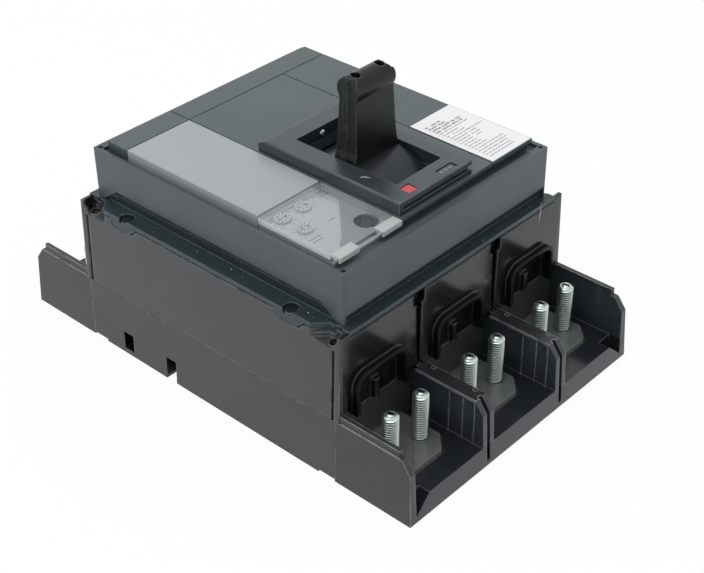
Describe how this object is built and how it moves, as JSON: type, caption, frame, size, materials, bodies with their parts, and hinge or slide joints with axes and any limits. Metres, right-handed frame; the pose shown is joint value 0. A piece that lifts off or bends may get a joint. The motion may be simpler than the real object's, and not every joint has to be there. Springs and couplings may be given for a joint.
{
  "type": "molded case circuit breaker",
  "caption": "Flat moulded-case power breaker with a central toggle, trip unit window, and stud terminals behind partitioned shields at both ends.",
  "frame": {"origin": "on the mounting plane, at the centre of the case", "axes": "+X across the poles, +Y towards the line terminals, +Z out of the front"},
  "size_m": [0.21, 0.327, 0.2],
  "materials": {
    "charcoal_plastic": "moulded thermoset, fine texture",
    "dark_plastic": "moulded thermoset, slight sheen",
    "cover_plastic": "moulded thermoplastic, fine texture",
    "light_grey_plastic": "moulded thermoplastic, satin",
    "black_plastic": "moulded thermoplastic, satin",
    "red_plastic": "moulded thermoplastic, glossy",
    "clear_plastic": "clear moulded plastic",
    "frosted_plastic": "frosted moulded plastic",
    "dial_plastic": "moulded thermoplastic, satin",
    "tinned_copper": "dull tin plating",
    "zinc_steel": "bright zinc plating"
  },
  "bodies": {
    "case": {"base_housing": "charcoal_plastic", "pole_housing": "dark_plastic", "case_shelf": "dark_plastic", "front_cover": "charcoal_plastic", "shield_load": "dark_plastic", "shield_line": "dark_plastic", "terminal_load_left": "tinned_copper", "terminal_load_middle": "tinned_copper", "terminal_load_right": "tinned_copper", "terminal_line_left": "tinned_copper", "terminal_line_middle": "tinned_copper", "terminal_line_right": "tinned_copper", "studs_load_left": "zinc_steel", "studs_load_middle": "zinc_steel", "studs_load_right": "zinc_steel", "studs_line_left": "zinc_steel", "studs_line_middle": "zinc_steel", "studs_line_right": "zinc_steel", "mounting_sleeves": "zinc_steel", "cover_screws": "zinc_steel", "auxiliary_cover": "cover_plastic", "accessory_cover": "cover_plastic", "middle_panel": "cover_plastic", "right_panel": "cover_plastic", "trip_unit_cover": "light_grey_plastic", "trip_unit_face": "light_grey_plastic", "toggle_escutcheon": "cover_plastic", "status_window": "clear_plastic"},
    "toggle": {"toggle_drum": "black_plastic", "toggle_handle": "black_plastic"},
    "button": {"trip_button": "red_plastic"},
    "window": {"window_pane": "clear_plastic", "window_lugs": "frosted_plastic"},
    "dial_outer": {"dial_outer": "dial_plastic"},
    "dial_inner": {"dial_inner": "dial_plastic"},
    "dial_front": {"dial_front": "dial_plastic"}
  },
  "joints": [
    {"name": "toggle_hinge", "type": "hinge", "parent": "case", "child": "toggle", "pos_m": [0, -0.038, 0.095], "axis": [1, 0, 0], "range_deg": [-22, 22]},
    {"name": "button_slide", "type": "slide", "parent": "case", "child": "button", "axis": [0, 0, -1], "range_m": [0, 0.003], "stiffness_N_per_m": 300, "springref_m": -0.001},
    {"name": "window_hinge", "type": "hinge", "parent": "case", "child": "window", "pos_m": [0, -0.0923, 0.138], "axis": [1, 0, 0], "range_deg": [0, 100]},
    {"name": "dial_outer_turn", "type": "hinge", "parent": "case", "child": "dial_outer", "pos_m": [-0.0743, -0.0414, 0.1357], "axis": [0, 0, 1], "range_deg": [-135, 135]},
    {"name": "dial_inner_turn", "type": "hinge", "parent": "case", "child": "dial_inner", "pos_m": [-0.0578, -0.0412, 0.1357], "axis": [0, 0, 1], "range_deg": [-135, 135]},
    {"name": "dial_front_turn", "type": "hinge", "parent": "case", "child": "dial_front", "pos_m": [-0.0732, -0.0577, 0.1357], "axis": [0, 0, 1], "range_deg": [-135, 135]}
  ]
}
